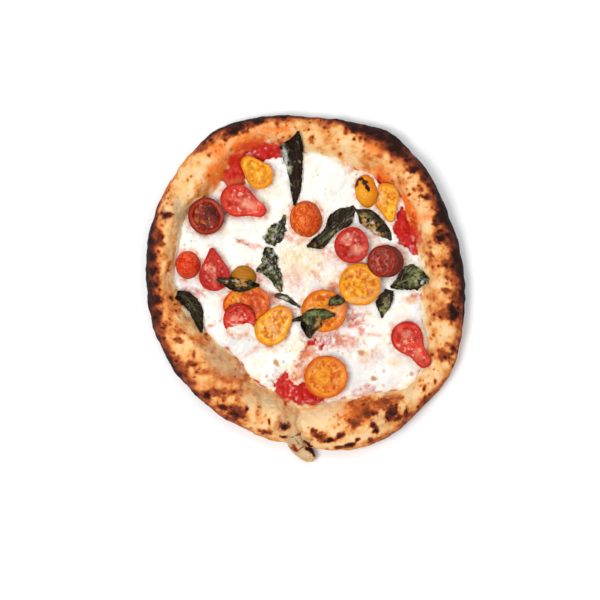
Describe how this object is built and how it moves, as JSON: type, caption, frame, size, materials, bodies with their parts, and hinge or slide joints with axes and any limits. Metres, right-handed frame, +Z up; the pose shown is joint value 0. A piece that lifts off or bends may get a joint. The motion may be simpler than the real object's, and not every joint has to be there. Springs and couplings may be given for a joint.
{
  "type": "vegetable pizza",
  "caption": "Whole wood-fired pizza with a puffed, charred rim, melted white cheese, roasted cherry tomato halves of several colours and wilted basil leaves, lying flat.",
  "frame": {"origin": "middle of the box that holds the pizza, on the plane it lies on", "axes": "+Z up out of the topped side, +Y towards the top of the picture, +X to its right"},
  "size_m": [0.262, 0.2844, 0.0264],
  "materials": {
    "crust": "baked, matt, charred in spots",
    "sauce": "wet",
    "mozzarella": "melted, glossy",
    "tomato_red": "roasted, glossy",
    "tomato_orange": "roasted, glossy",
    "tomato_yellow": "roasted, glossy",
    "tomato_dark": "roasted, glossy",
    "tomato_olive": "smooth, glossy",
    "basil": "wilted, oily"
  },
  "bodies": {
    "root": {"crust": "crust", "sauce": "sauce", "mozzarella": "mozzarella", "tomato_orange_left": "tomato_orange", "tomato_red_left": "tomato_red", "tomato_yellow_pear_right": "tomato_yellow", "tomato_yellow_right": "tomato_yellow", "tomato_red_pear_top": "tomato_red", "tomato_yellow_pear_top": "tomato_yellow", "tomato_dark_left": "tomato_dark", "tomato_orange_edge": "tomato_orange", "tomato_red_pear_left": "tomato_red", "tomato_olive": "tomato_olive", "tomato_yellow_middle": "tomato_yellow", "tomato_orange_middle": "tomato_orange", "tomato_yellow_round": "tomato_yellow", "tomato_red_round": "tomato_red", "tomato_dark_right": "tomato_dark", "tomato_orange_top": "tomato_orange", "tomato_red_pear_right": "tomato_red", "tomato_orange_lower": "tomato_orange", "basil_top": "basil", "basil_centre": "basil", "basil_curled": "basil", "basil_right": "basil", "basil_right_small": "basil", "basil_mid_upper": "basil", "basil_mid_lower": "basil", "basil_sprig": "basil", "basil_orange_long": "basil", "basil_orange_low": "basil", "basil_orange_small": "basil", "basil_left": "basil", "basil_left_middle": "basil"}
  },
  "joints": []
}
